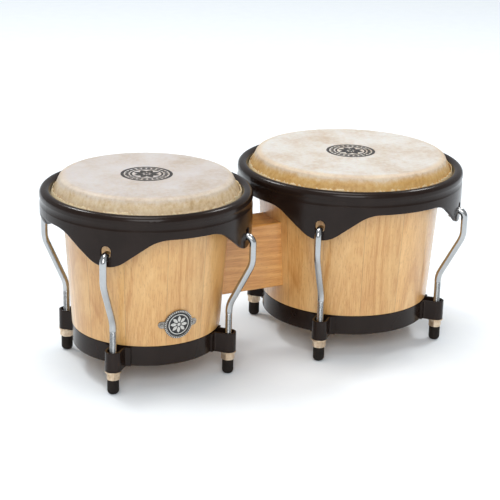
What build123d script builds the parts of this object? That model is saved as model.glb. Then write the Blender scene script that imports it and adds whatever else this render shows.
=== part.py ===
from build123d import *
from dataclasses import dataclass
from math import cos, degrees, radians, sin
import os

# A pair of bongo drums: the macho (small drum, -X) and the hembra (large drum, +X), joined by a block.
# Millimetres. +Z is up, -Y is the front with the badge. The origin is on the floor, under the middle of
# the whole object. Radii are the macho's: every radius of the hembra is HEMBRA_GROWTH larger, and both
# drums share every height.

# Layout
DRUM_SPACING = 215.0
HEMBRA_GROWTH = 12.5
TINY = 0.01

# Rim: a steel hoop with a rolled top, and four hanging ears with a slot each
RIM_R = 96.5
RIM_WALL = 3.0
RIM_TOP_Z = 171.0
RIM_EDGE_Z = 150.0
ROLL_WIDTH = 9.8
LIP_END_Z = 161.0
NECK_Z = 160.5
NECK_HALF_HEIGHT = 3.2
NECK_DEPTH = 0.5
EAR_APEX_Z = 117.5
EAR_TIP_FILLET = 27.0
EAR_CORNER = 43.9
EAR_CORNER_FILLET = 30.0
SLOT_WIDTH = 8.9
SLOT_BOTTOM_Z = 131.6
SLOT_TOP_Z = 142.8
RIM_EDGE_FILLET = 0.8

# Shell: a cone turned from glued staves, rebated at the foot for the band
SHELL_FOOT_R = 67.5
SHELL_FOOT_Z = 24.2
SHELL_TOP_R = 77.9
SHELL_TOP_Z = 180.9
SHELL_WALL = 11.0
BEARING_FILLET = 3.6
BEARING_CHAMFER = 4.0
FOOT_FILLET = 2.0

# Bottom band and the four receivers on it
BAND_R = 68.3
BAND_WALL = 1.8
BAND_BOTTOM_Z = 23.2
BAND_TOP_Z = 41.6
BAND_GROOVE = 0.6
BAND_FILLET = 0.5
RECEIVER_BOTTOM_Z = 22.2
RECEIVER_TOP_Z = 40.9
RECEIVER_R = 7.2
RECEIVER_WALL = 2.0
RECEIVER_FLANGE = 4.8
RECEIVER_FOLD_FILLET = 1.6
RECEIVER_EDGE_FILLET = 0.4

# Skin and the wire hoop it is lapped round
SKIN = 0.9
SKIN_TOP_Z = 182.0
SKIN_FLAT_R = 74.4
SKIN_SHOULDER = (79.3, 179.0)
COLLAR_FOOT = (85.6, 164.5)
HOOP_R = 89.6
HOOP_Z = 156.9
HOOP_WIRE_R = 2.4
HOOP_GAP = 0.25
LAP_END_ANGLE = 100.0

# Tuning rods: quarter-inch steel, hooked through the ears and cranked in to the receivers
ROD_R = 3.175
ROD_UPPER_R = 102.0
ROD_LOWER_R = 80.7
HOOK_R = 89.6
HOOK_END_Z = 127.4
CRANK_TOP_Z = 109.0
CRANK_BOTTOM_Z = 66.8
HOOK_BEND = 4.8
CRANK_BEND = 14.0

# Nuts, washers and rubber feet at the rods' lower ends
NUT_FLATS = 11.11
NUT_BOTTOM_Z = 14.2
NUT_TOP_Z = 20.7
NUT_BORE_R = 3.25
NUT_CHAMFER = 0.6
WASHER_R = 7.4
WASHER_BORE_R = 3.5
WASHER_FILLET = 0.25
WASHER_BOTTOM_Z = 20.75
WASHER_TOP_Z = 22.15
FOOT_R = 5.3
FOOT_TOP_Z = 13.9
FOOT_FLOOR = 2.6
FOOT_END_FILLET = 3.8
FOOT_LIP_FILLET = 0.5
FOOT_BORE_R = 3.2

# Centre block, and the bolts that hold it from inside each shell
BLOCK_BOTTOM_Z = 61.0
BLOCK_TOP_Z = 125.2
BLOCK_THICKNESS = 36.2
BLOCK_FILLET = 1.5
SEAT_GAP = 0.05
BOLT_HEIGHTS = (77.0, 109.0)
BOLT_R = 3.0
BOLT_HOLE_R = 3.3
BOLT_REACH = 20.0
BOLT_FLATS = 10.0
BOLT_HEAD = 4.0
BOLT_WASHER_R = 8.0
BOLT_WASHER = 1.6
SPOT_FACE_R = 9.0
SPOT_FACE_DEPTH = 0.8
INSERT_R = 4.5
INSERT_BORE_R = 3.05
INSERT_LENGTH = 13.0
INSERT_SETBACK = 3.0

# Badge on the front of the macho
BADGE_Z = 62.2
BADGE_TILT = -2.0
BADGE_FIELD_R = 11.4
BADGE_RING_R = 13.4
BADGE_FIELD = 1.0
BADGE_RING = 1.8
BADGE_TAB_R = 3.2
BADGE_TAB_LENGTH = 5.0
BADGE_PIN_SPACING = 31.0
PIN_SHANK_R = 0.8
PIN_HEAD_R = 1.5
PIN_HEAD = 1.0
PIN_DEPTH = 8.0
PIN_HOLE_GAP = 0.05
PIN_SEAT_GAP = 0.2

LUGS = {"front_left": 225.0, "front_right": 315.0, "back_right": 45.0, "back_left": 135.0}


@dataclass(frozen=True)
class Drum:
    """One of the two drums: where its axis is, how much wider it is, and which way the block lies."""

    name: str
    x: float
    growth: float
    block_side: int

    def shell_r(self, z):
        """Outer radius of the shell at a height."""
        slope = (SHELL_TOP_R - SHELL_FOOT_R) / (SHELL_TOP_Z - SHELL_FOOT_Z)
        return SHELL_FOOT_R + self.growth + slope * (z - SHELL_FOOT_Z)

    def at_lug(self, angle, radius):
        """Place something on the circle of the lugs, its own +X pointing away from the drum's axis."""
        return Pos(self.x, 0, 0) * Rot(0, 0, angle) * Pos(radius + self.growth, 0, 0)

    def toward_block(self, z):
        """Place something at the drum's axis, its own +Z pointing level at the block."""
        return Pos(self.x, 0, z) * Rot(0, 90 * self.block_side, 0)


# The bounding box, from the macho's rim to the hembra's, is centred on the origin.
MACHO_X = -(DRUM_SPACING + HEMBRA_GROWTH) / 2
DRUMS = (
    Drum("macho", MACHO_X, 0.0, 1),
    Drum("hembra", MACHO_X + DRUM_SPACING, HEMBRA_GROWTH, -1),
)


def turned(drum, edges):
    """Revolve a closed half-section, drawn as radius and height, about a drum's axis."""
    section = Plane.XZ * make_face(edges)
    return Pos(drum.x, 0, 0) * revolve(section, Axis.Z)


def tube(outer_r, inner_r, bottom_z, top_z):
    """Upright tube on the Z axis."""
    section = Circle(outer_r) - Circle(inner_r)
    return Pos(0, 0, bottom_z) * extrude(section, top_z - bottom_z)


def frustum(drum, extra_r=0.0):
    """Solid of the shell's outer cone, from below its foot to above its top."""
    low = SHELL_FOOT_Z - 1
    high = SHELL_TOP_Z + 1
    body = Cone(drum.shell_r(low) + extra_r, drum.shell_r(high) + extra_r, high - low)
    return Pos(drum.x, 0, (low + high) / 2) * body


def shell(drum):
    """Wooden shell with a rounded bearing edge, a rebate for the band, and the drilled holes."""
    foot_r = drum.shell_r(SHELL_FOOT_Z)
    top_r = drum.shell_r(SHELL_TOP_Z)
    rebate_r = BAND_R + drum.growth - BAND_WALL - SEAT_GAP
    rebate_z = BAND_TOP_Z + BAND_GROOVE
    corners = [
        (foot_r - SHELL_WALL, SHELL_FOOT_Z),
        (rebate_r, SHELL_FOOT_Z),
        (rebate_r, rebate_z),
        (drum.shell_r(rebate_z), rebate_z),
        (top_r, SHELL_TOP_Z),
        (top_r - SHELL_WALL, SHELL_TOP_Z),
    ]
    section = make_face(Polyline(*corners, close=True))
    top = section.vertices().group_by(Axis.Y)[-1].sort_by(Axis.X)
    section = fillet(top[1], BEARING_FILLET)
    inner_top = section.vertices().group_by(Axis.Y)[-1].sort_by(Axis.X)[0]
    section = chamfer(inner_top, BEARING_CHAMFER)
    inner_foot = section.vertices().group_by(Axis.Y)[0].sort_by(Axis.X)[0]
    section = fillet(inner_foot, FOOT_FILLET)
    body = turned(drum, section.edges())
    for z in BOLT_HEIGHTS:
        hole = Cylinder(BOLT_HOLE_R, 2 * drum.shell_r(z), align=(Align.CENTER, Align.CENTER, Align.MIN))
        spot_face_r = drum.shell_r(z) - SHELL_WALL + SPOT_FACE_DEPTH
        spot_face = Cylinder(SPOT_FACE_R, spot_face_r, align=(Align.CENTER, Align.CENTER, Align.MIN))
        body -= drum.toward_block(z) * (hole + spot_face)
    if drum.name == "macho":
        for place in badge_pin_places(drum):
            depth = PIN_DEPTH + 2 * SEAT_GAP
            body -= place * Pos(0, 0, -depth) * Cylinder(
                PIN_SHANK_R + PIN_HOLE_GAP, 2 * depth, align=(Align.CENTER, Align.CENTER, Align.MIN)
            )
    return body


def skin(drum):
    """Rawhide head: a flat disc, a collar over the bearing edge, and a lap round the wire hoop."""
    g = drum.growth
    hoop = (HOOP_R + g, HOOP_Z)
    near = HOOP_WIRE_R + HOOP_GAP
    far = near + SKIN

    def on_lap(radius, angle):
        return (hoop[0] + radius * cos(radians(angle)), hoop[1] + radius * sin(radians(angle)))

    shoulder = (SKIN_SHOULDER[0] + g, SKIN_SHOULDER[1])
    collar = (COLLAR_FOOT[0] + g, COLLAR_FOOT[1])
    top = Line((0, SKIN_TOP_Z), (SKIN_FLAT_R + g, SKIN_TOP_Z))
    over_edge = TangentArc(top @ 1, shoulder, tangent=top % 1)
    slope = Line(shoulder, collar)
    to_hoop = Line(collar, on_lap(near, 180))
    lap_near = ThreePointArc(on_lap(near, 180), on_lap(near, 315), on_lap(near, LAP_END_ANGLE))
    lap_end = Line(on_lap(near, LAP_END_ANGLE), on_lap(far, LAP_END_ANGLE))
    lap_far = ThreePointArc(on_lap(far, LAP_END_ANGLE), on_lap(far, 315), on_lap(far, 180))
    under_collar = (collar[0] - SKIN, collar[1] - SKIN / 4)
    under_shoulder = (shoulder[0] - SKIN, shoulder[1] - SKIN / 2)
    from_hoop = Line(on_lap(far, 180), under_collar)
    under_slope = Line(under_collar, under_shoulder)
    under_top = Line((SKIN_FLAT_R + g, SKIN_TOP_Z - SKIN), (0, SKIN_TOP_Z - SKIN))
    under_edge = TangentArc(under_top @ 0, under_shoulder, tangent=top % 1)
    axis = Line(under_top @ 1, top @ 0)
    outline = [top, over_edge, slope, to_hoop, lap_near, lap_end, lap_far, from_hoop, under_slope]
    outline += [under_edge, under_top, axis]
    return turned(drum, outline)


def flesh_hoop(drum):
    """Steel wire hoop inside the lap of the skin."""
    return Pos(drum.x, 0, HOOP_Z) * Torus(HOOP_R + drum.growth, HOOP_WIRE_R)


def rim_section(drum):
    """Edges of the rim's half-section: skirt, slight neck, rolled top and inner lip."""
    outer = RIM_R + drum.growth
    inner = outer - RIM_WALL
    lip = outer - ROLL_WIDTH
    lip_outer = lip + RIM_WALL
    roll_z = RIM_TOP_Z - ROLL_WIDTH / 2
    roll_bore_z = RIM_TOP_Z - RIM_WALL
    middle = outer - ROLL_WIDTH / 2
    skirt_bottom = EAR_APEX_Z
    neck_low = (outer, NECK_Z - NECK_HALF_HEIGHT)
    neck_high = (outer, NECK_Z + NECK_HALF_HEIGHT)
    return [
        Line((inner, skirt_bottom), (outer, skirt_bottom)),
        Line((outer, skirt_bottom), neck_low),
        ThreePointArc(neck_low, (outer - NECK_DEPTH, NECK_Z), neck_high),
        Line(neck_high, (outer, roll_z)),
        ThreePointArc((outer, roll_z), (middle, RIM_TOP_Z), (lip, roll_z)),
        Line((lip, roll_z), (lip, LIP_END_Z)),
        Line((lip, LIP_END_Z), (lip_outer, LIP_END_Z)),
        Line((lip_outer, LIP_END_Z), (lip_outer, roll_z)),
        ThreePointArc((lip_outer, roll_z), (middle, roll_bore_z), (inner, roll_z)),
        Line((inner, roll_z), (inner, skirt_bottom)),
    ]


def ear_cutter(outer_r):
    """Everything below one quarter of the rim's lower edge: level, down round an ear, level again."""
    reach = outer_r + 5
    edge = FilletPolyline(
        (-reach, RIM_EDGE_Z),
        (-EAR_CORNER, RIM_EDGE_Z),
        (0, EAR_APEX_Z),
        (EAR_CORNER, RIM_EDGE_Z),
        (reach, RIM_EDGE_Z),
        radius=[EAR_CORNER_FILLET, EAR_TIP_FILLET, EAR_CORNER_FILLET],
    )
    floor_z = EAR_APEX_Z - 5
    under = Polyline((reach, RIM_EDGE_Z), (reach, floor_z), (-reach, floor_z), (-reach, RIM_EDGE_Z))
    below = make_face(edge.edges() + under.edges())
    slot = Pos(0, (SLOT_BOTTOM_Z + SLOT_TOP_Z) / 2) * SlotOverall(
        SLOT_TOP_Z - SLOT_BOTTOM_Z, SLOT_WIDTH, rotation=90
    )
    return extrude(Plane.YZ * (below + slot), reach)


def rim_quarter(drum):
    """Quarter of the counterhoop with its ear on +X, the ear's and slot's edges rounded."""
    section = Plane.XZ * make_face(rim_section(drum))
    quarter = Rot(0, 0, -45) * revolve(section, Axis.Z, revolution_arc=90)
    quarter -= ear_cutter(RIM_R + drum.growth)
    cut_ends = quarter_ends(quarter)
    end_edges = [edge for face in cut_ends for edge in face.edges()]
    along_edge = []
    for edge in quarter.edges():
        across_wall = edge.geom_type == GeomType.LINE and abs((edge @ 0).Z - (edge @ 1).Z) < TINY
        on_end = any(edge.is_same(other) for other in end_edges)
        if edge.bounding_box().max.Z < RIM_EDGE_Z + TINY and not across_wall and not on_end:
            along_edge.append(edge)
    return fillet(along_edge, RIM_EDGE_FILLET)


def quarter_ends(quarter):
    """The two flat faces where a quarter of the rim meets its neighbours."""
    ends = []
    for face in quarter.faces().filter_by(GeomType.PLANE):
        centre = face.center()
        if abs(abs(centre.X) - abs(centre.Y)) < TINY:
            ends.append(face)
    return ends


def rim(drum):
    """Counterhoop: four quarters with an ear each, sewn into one solid without their flat ends."""
    quarter = rim_quarter(drum)
    ends = quarter_ends(quarter)
    skin_faces = [face for face in quarter.faces() if not any(face.is_same(end) for end in ends)]
    turned_faces = [Rot(0, 0, angle) * face for angle in LUGS.values() for face in skin_faces]
    return Pos(drum.x, 0, 0) * Solid(Shell(turned_faces))


def tuning_rod(drum, angle):
    """Bent rod: hook up behind the ear, over the slot's foot, down, cranked inwards, down to its end."""
    seat_z = SLOT_BOTTOM_Z + ROD_R + SEAT_GAP
    path = FilletPolyline(
        (HOOK_R, 0, HOOK_END_Z),
        (HOOK_R, 0, seat_z),
        (ROD_UPPER_R, 0, seat_z),
        (ROD_UPPER_R, 0, CRANK_TOP_Z),
        (ROD_LOWER_R, 0, CRANK_BOTTOM_Z),
        (ROD_LOWER_R, 0, FOOT_FLOOR),
        radius=[HOOK_BEND, HOOK_BEND, CRANK_BEND, CRANK_BEND],
    )
    rod = sweep(Plane(path @ 0, z_dir=path % 0) * Circle(ROD_R), path=path)
    return drum.at_lug(angle, 0) * rod


def tuning_nut(drum, angle):
    """Hex nut with both faces chamfered, its bore running on the rod's thread crests."""
    height = NUT_TOP_Z - NUT_BOTTOM_Z
    hexagon = RegularPolygon(NUT_FLATS / 2, 6, major_radius=False, rotation=30)
    body = extrude(hexagon - Circle(NUT_BORE_R), height)
    corner_r = NUT_FLATS / 2 / cos(radians(30))
    rounded = Pos(0, 0, height / 2) * Cylinder(corner_r, height)
    rounded = chamfer(rounded.edges(), NUT_CHAMFER)
    return drum.at_lug(angle, ROD_LOWER_R) * Pos(0, 0, NUT_BOTTOM_Z) * (body & rounded)


def rod_washers(drum):
    """The four washers between the nuts and the receivers."""
    washer = tube(WASHER_R, WASHER_BORE_R, WASHER_BOTTOM_Z, WASHER_TOP_Z)
    washer = fillet(washer.edges().filter_by(GeomType.CIRCLE), WASHER_FILLET)
    return Compound(children=[drum.at_lug(angle, ROD_LOWER_R) * washer for angle in LUGS.values()])


def rubber_foot(drum, angle):
    """Rubber cap pushed on the rod's lower end, rounded below with a small flat to stand on."""
    body = Cylinder(FOOT_R, FOOT_TOP_Z, align=(Align.CENTER, Align.CENTER, Align.MIN))
    body = fillet(body.edges().group_by(Axis.Z)[0], FOOT_END_FILLET)
    body = fillet(body.edges().group_by(Axis.Z)[-1], FOOT_LIP_FILLET)
    bore = Cylinder(FOOT_BORE_R, FOOT_TOP_Z, align=(Align.CENTER, Align.CENTER, Align.MIN))
    return drum.at_lug(angle, ROD_LOWER_R) * (body - Pos(0, 0, FOOT_FLOOR - SEAT_GAP) * bore)


def bottom_band(drum):
    """Steel band let into the foot of the shell."""
    outer = BAND_R + drum.growth
    band = tube(outer, outer - BAND_WALL, BAND_BOTTOM_Z, BAND_TOP_Z)
    outer_edges = band.edges().filter_by(GeomType.CIRCLE).filter_by(lambda edge: edge.radius > outer - TINY)
    return Pos(drum.x, 0, 0) * fillet(outer_edges, BAND_FILLET)


def receiver(drum, angle):
    """Strap bent to a U round the rod, its two flanges lying on the band."""
    band_r = BAND_R + drum.growth + SEAT_GAP
    rod_x = ROD_LOWER_R + drum.growth
    half_width = RECEIVER_R + RECEIVER_FLANGE
    inner_r = RECEIVER_R - RECEIVER_WALL
    legs = Pos(rod_x / 2, 0) * Rectangle(rod_x, 2 * RECEIVER_R) + Pos(rod_x, 0) * Circle(RECEIVER_R)
    room = Pos(rod_x / 2, 0) * Rectangle(rod_x, 2 * inner_r) + Pos(rod_x, 0) * Circle(inner_r)
    flanges = Circle(band_r + RECEIVER_WALL) & Pos(band_r, 0) * Rectangle(band_r, 2 * half_width)
    strap = legs - Circle(band_r) - room
    outline = legs + flanges - Circle(band_r) - room
    folds = [
        corner
        for corner in outline.vertices()
        if abs(abs(corner.Y) - RECEIVER_R) < 0.01 and corner.X < rod_x - 1
    ]
    outline = fillet(folds, RECEIVER_FOLD_FILLET)
    lower = Pos(0, 0, RECEIVER_BOTTOM_Z) * extrude(strap, BAND_BOTTOM_Z - RECEIVER_BOTTOM_Z)
    upper = Pos(0, 0, BAND_BOTTOM_Z) * extrude(outline, RECEIVER_TOP_Z - BAND_BOTTOM_Z)
    body = lower + upper
    levels = body.edges().group_by(Axis.Z)
    body = fillet(levels[0] + levels[-1], RECEIVER_EDGE_FILLET)
    return drum.at_lug(angle, -drum.growth) * body


def centre_block():
    """Hardwood block whose ends fit the two shells, bored for the four inserts."""
    macho, hembra = DRUMS
    height = BLOCK_TOP_Z - BLOCK_BOTTOM_Z
    middle_z = (BLOCK_TOP_Z + BLOCK_BOTTOM_Z) / 2
    body = Pos((macho.x + hembra.x) / 2, 0, middle_z) * Box(DRUM_SPACING, BLOCK_THICKNESS, height)
    body = fillet(body.edges().filter_by(Axis.X), BLOCK_FILLET)
    for drum in DRUMS:
        body -= frustum(drum, SEAT_GAP)
        for z in BOLT_HEIGHTS:
            shank_end = drum.shell_r(z) + BOLT_REACH
            body -= drum.toward_block(z) * Cylinder(
                BOLT_HOLE_R, shank_end, align=(Align.CENTER, Align.CENTER, Align.MIN)
            )
            insert_end = insert_start(drum, z) + INSERT_LENGTH + SEAT_GAP
            body -= drum.toward_block(z) * Cylinder(
                INSERT_R + SEAT_GAP, insert_end, align=(Align.CENTER, Align.CENTER, Align.MIN)
            )
    return body


def insert_start(drum, z):
    """Distance from the drum's axis to the near end of a threaded insert."""
    return drum.shell_r(z) + INSERT_SETBACK


def threaded_inserts(drum):
    """The two brass inserts in the block's end that faces this drum."""
    insert = tube(INSERT_R, INSERT_BORE_R, 0, INSERT_LENGTH)
    return Compound(
        children=[drum.toward_block(z) * Pos(0, 0, insert_start(drum, z)) * insert for z in BOLT_HEIGHTS]
    )


def block_washers(drum):
    """Washers on the spot faces inside the shell, under the block bolts' heads."""
    washer = tube(BOLT_WASHER_R, BOLT_HOLE_R, -BOLT_WASHER, 0)
    places = [drum.toward_block(z) * Pos(0, 0, spot_face_r(drum, z)) for z in BOLT_HEIGHTS]
    return Compound(children=[place * washer for place in places])


def spot_face_r(drum, z):
    """Distance from the drum's axis to the flat that a block bolt's washer sits on."""
    return drum.shell_r(z) - SHELL_WALL + SPOT_FACE_DEPTH - SEAT_GAP


def block_bolts(drum):
    """Hex-head bolts from inside the shell into the block's inserts."""
    bolts = []
    for z in BOLT_HEIGHTS:
        seat = spot_face_r(drum, z) - BOLT_WASHER - SEAT_GAP
        head = extrude(RegularPolygon(BOLT_FLATS / 2, 6, major_radius=False), -BOLT_HEAD)
        length = drum.shell_r(z) + BOLT_REACH - SEAT_GAP - seat
        shank = Cylinder(BOLT_R, length, align=(Align.CENTER, Align.CENTER, Align.MIN))
        bolts.append(drum.toward_block(z) * Pos(0, 0, seat) * (head + shank))
    return Compound(children=bolts)


def badge_frame(drum):
    """Place on the macho's axis at the badge's height, its own +Z pointing out of the front."""
    return Pos(drum.x, 0, BADGE_Z) * Rot(90, 0, 0) * Rot(0, 0, BADGE_TILT)


def badge_pin_places(drum):
    """Where the two badge pins enter the shell, their own +Z pointing out of it."""
    places = []
    for side in (-1, 1):
        across = side * BADGE_PIN_SPACING / 2
        height = BADGE_Z + across * sin(radians(BADGE_TILT))
        shell_r = drum.shell_r(height)
        turn = Rot(0, 0, degrees(across / shell_r) - 90)
        places.append(Pos(drum.x, 0, height) * turn * Rot(0, 90, 0) * Pos(0, 0, shell_r))
    return places


def badge(drum):
    """Round metal badge bent to the shell: sunk field, raised ring, and a tab each side for a pin."""
    field = Circle(BADGE_FIELD_R)
    ring = Circle(BADGE_RING_R) - field
    tabs = Sketch()
    for side in (-1, 1):
        tabs += Pos(side * BADGE_PIN_SPACING / 2, 0) * Circle(BADGE_TAB_R)
        root_x = side * (BADGE_PIN_SPACING / 2 + BADGE_FIELD_R) / 2
        tabs += Pos(root_x, 0) * Rectangle(BADGE_TAB_LENGTH, 2 * BADGE_TAB_R)
    reach = drum.shell_r(BADGE_Z) * 1.5
    plate = extrude(field + ring + tabs, reach) & badge_shell(drum, BADGE_FIELD)
    raised = extrude(ring, reach) & badge_shell(drum, BADGE_RING)
    body = badge_frame(drum) * (plate + raised)
    for place in badge_pin_places(drum):
        body -= place * Cylinder(PIN_SHANK_R + PIN_HOLE_GAP, 4 * BADGE_RING)
    return body


def badge_shell(drum, thickness):
    """A skin of metal lying on the shell, in the badge's own frame."""
    skin_of_metal = frustum(drum, SEAT_GAP + thickness) - frustum(drum, SEAT_GAP)
    return badge_frame(drum).inverse() * skin_of_metal


def badge_pins(drum):
    """The two domed pins that hold the badge."""
    pins = []
    for place in badge_pin_places(drum):
        bottom = BADGE_FIELD + PIN_SEAT_GAP
        shank = Pos(0, 0, -PIN_DEPTH) * Cylinder(
            PIN_SHANK_R, PIN_DEPTH + bottom + PIN_HEAD / 2, align=(Align.CENTER, Align.CENTER, Align.MIN)
        )
        head = Cylinder(PIN_HEAD_R, PIN_HEAD, align=(Align.CENTER, Align.CENTER, Align.MIN))
        head = fillet(head.edges().group_by(Axis.Z)[-1], PIN_HEAD * 0.8)
        pins.append(place * (shank + Pos(0, 0, bottom) * head))
    return Compound(children=pins)


def drum_nodes(drum):
    """Every node of one drum, by name."""
    nodes = {
        "shell": shell(drum),
        "skin": skin(drum),
        "flesh_hoop": flesh_hoop(drum),
        "rim": rim(drum),
        "bottom_band": bottom_band(drum),
        "rod_washers": rod_washers(drum),
        "block_bolts": block_bolts(drum),
        "block_washers": block_washers(drum),
        "threaded_inserts": threaded_inserts(drum),
    }
    for lug, angle in LUGS.items():
        nodes["tuning_rod_" + lug] = tuning_rod(drum, angle)
        nodes["tuning_nut_" + lug] = tuning_nut(drum, angle)
        nodes["receiver_" + lug] = receiver(drum, angle)
        nodes["rubber_foot_" + lug] = rubber_foot(drum, angle)
    return {drum.name + "_" + name: solid for name, solid in nodes.items()}


def main():
    os.makedirs("parts", exist_ok=True)
    macho, hembra = DRUMS
    nodes = drum_nodes(macho) | drum_nodes(hembra)
    nodes["centre_block"] = centre_block()
    nodes["badge"] = badge(macho)
    nodes["badge_pins"] = badge_pins(macho)
    for name, solid in nodes.items():
        export_step(solid, "parts/" + name + ".step")


main()
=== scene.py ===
from math import atan2, ceil, cos, floor, pi, radians, sin, sqrt

import bmesh
import bpy
import numpy as np
from mathutils import Matrix, Vector, noise
from mathutils.bvhtree import BVHTree


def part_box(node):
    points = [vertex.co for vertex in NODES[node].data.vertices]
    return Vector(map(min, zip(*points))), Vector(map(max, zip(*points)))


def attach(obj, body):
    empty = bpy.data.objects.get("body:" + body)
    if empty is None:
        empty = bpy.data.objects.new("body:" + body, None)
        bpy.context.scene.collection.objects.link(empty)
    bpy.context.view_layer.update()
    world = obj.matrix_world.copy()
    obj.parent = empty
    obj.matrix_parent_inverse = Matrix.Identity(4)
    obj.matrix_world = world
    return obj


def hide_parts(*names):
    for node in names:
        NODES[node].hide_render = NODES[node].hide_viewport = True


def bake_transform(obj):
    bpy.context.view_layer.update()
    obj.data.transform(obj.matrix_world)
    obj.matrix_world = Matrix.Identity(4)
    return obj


# The looks of a pair of bongo drums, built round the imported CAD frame. Metres, +Z up, -Y is the front.
# The wooden, coated, plated and rubber CAD parts stay and get materials. The skins, the tuning rods with
# their threads, the printed marks on the heads, and the badge's enamel, motif and beaded rim are made here.

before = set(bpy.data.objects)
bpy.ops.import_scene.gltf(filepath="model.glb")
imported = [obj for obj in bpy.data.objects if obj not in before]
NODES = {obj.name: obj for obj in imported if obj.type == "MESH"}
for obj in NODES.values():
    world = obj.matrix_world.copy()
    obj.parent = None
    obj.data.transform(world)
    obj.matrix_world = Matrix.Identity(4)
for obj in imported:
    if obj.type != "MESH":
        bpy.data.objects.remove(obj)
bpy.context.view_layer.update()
ROOT = "shells_and_block"
MM = 0.001

# Skin, as distances in from the rim's outer radius and down from the head
SKIN_THICKNESS = 0.9 * MM
FLAT_INSET = 24.6 * MM
CORNER_INSET = 18.5 * MM
SHOULDER_INSET = 17.4 * MM
SHOULDER_DROP = 2.9 * MM
COLLAR_INSET = 10.95 * MM
COLLAR_DROP = 17.4 * MM
LAP_GAP = 0.3 * MM
LAP_THICKNESS = 0.8 * MM
LAP_END = radians(95)
TRIM_STAND_OFF = 0.75 * MM
TRIM_DROP = 19.5 * MM
TRIM_HEIGHT = 7.7 * MM
TRIM_LEAN_TOWARD = radians(20)
TRIM_LEVELS = 8
WAVE_HEIGHT = 0.20 * MM
PUCKER_HEIGHT = 0.30 * MM
SKIN_SEGMENTS = 384
FLAT_STEPS = 40
SHOULDER_STEPS = 12
COLLAR_STEPS = 16
LAP_STEPS = 20
COLLAR_SLOPE = (SHOULDER_INSET - COLLAR_INSET) / (COLLAR_DROP - SHOULDER_DROP)

# Tuning rods: the bent line, as distances out from the rim's outer radius and heights
ROD_RADIUS = 3.175 * MM
ROD_OUT = 5.5 * MM
ROD_IN = -15.8 * MM
HOOK_IN = -6.9 * MM
HOOK_END = 127.4 * MM
HOOK_SEAT = 134.825 * MM
CRANK_TOP = 109.0 * MM
CRANK_BOTTOM = 66.8 * MM
ROD_BOTTOM = 2.6 * MM
HOOK_BEND = 4.8 * MM
SHOULDER_BEND = 6.8 * MM
CRANK_BEND = 24.0 * MM
THREAD_TOP = 61.0 * MM
THREAD_BOTTOM = 12.0 * MM
THREAD_PITCH = 1.27 * MM
THREAD_DEPTH = 0.62 * MM
THREAD_FLANK = 0.42
THREAD_RUN_IN = 2.5 * THREAD_PITCH
THREAD_STEPS = 6
ROD_CHAMFER = ((0.0, 0.72), (0.35 * MM, 0.92), (0.9 * MM, 1.0))
ROD_STEP = 1.0 * MM
ROD_SEGMENTS = 28
LUGS = {"front_left": 225.0, "front_right": 315.0, "back_right": 45.0, "back_left": 135.0}

# Printed mark on each head: its radius, then rings, beads and petals as shares of that radius.
# A petal is given by its start, its end and its width.
PETALS = 8
PRINT_RADIUS = 23.6 * MM
PRINT_LIFT = 0.08 * MM
PRINT_RINGS = ((0.88, 1.0), (0.56, 0.64), (0.0042, 0.10))
PRINT_BEADS = 24
PRINT_BEADS_AT = 0.76
PRINT_BEAD_RADIUS = 0.085
PRINT_PETAL = (0.12, 0.52, 0.25)

# Badge: its motif, and the beads in the groove round its rim. The flare is the slope of the shell behind it.
BADGE_CENTRE_Z = 62.2 * MM
BADGE_TILT = radians(-2.0)
SHELL_FLARE = 0.0664
ENAMEL_RADIUS = 11.3 * MM
ENAMEL_LIFT = 0.25 * MM
ENAMEL_DROP = 0.2 * MM
MOTIF_MIDDLE = 1.5 * MM
MOTIF_RING = (8.9 * MM, 9.7 * MM)
MOTIF_PETAL = (2.1 * MM, 8.0 * MM, 2.9 * MM)
MOTIF_LIFT = 0.75 * MM
GROOVE = (11.9 * MM, 13.2 * MM)
GROOVE_LIFT = 0.85 * MM
RIM_BEADS = 44
RIM_BEADS_AT = 12.6 * MM
RIM_BEAD_RADIUS = 0.55 * MM
RIM_BEAD_LIFT = 1.2 * MM

# Staves of the shells, the collars' tans and the heads' creams, both from dark to light
STAVES = {"macho": 12, "hembra": 14}
TANS = {
    "macho": ((0.46, 0.315, 0.160), (0.59, 0.445, 0.270), (0.65, 0.520, 0.345), (0.71, 0.600, 0.430)),
    "hembra": ((0.45, 0.240, 0.068), (0.56, 0.325, 0.100), (0.62, 0.395, 0.146), (0.68, 0.495, 0.250)),
}
CREAMS = {
    "macho": ((0.458, 0.417, 0.397), (0.530, 0.494, 0.480), (0.570, 0.540, 0.528)),
    "hembra": ((0.555, 0.525, 0.485), (0.632, 0.618, 0.588), (0.675, 0.668, 0.645)),
}


class Drum:
    """One drum's measures, read from the frame."""

    def __init__(self, name):
        self.name = name
        low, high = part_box(name + "_rim")
        self.x = (low.x + high.x) / 2
        self.rim_r = (high.x - low.x) / 2
        self.head_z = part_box(name + "_skin")[1].z
        low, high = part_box(name + "_flesh_hoop")
        self.wire_r = (high.z - low.z) / 2
        self.hoop_z = (high.z + low.z) / 2
        self.hoop_r = (high.x - low.x) / 2 - self.wire_r
        low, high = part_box(name + "_bottom_band")
        self.band_r = (high.x - low.x) / 2
        self.tuning = name + "_tuning_set"


DRUMS = [Drum("macho"), Drum("hembra")]


# ---------------------------------------------------------------- materials

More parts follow.
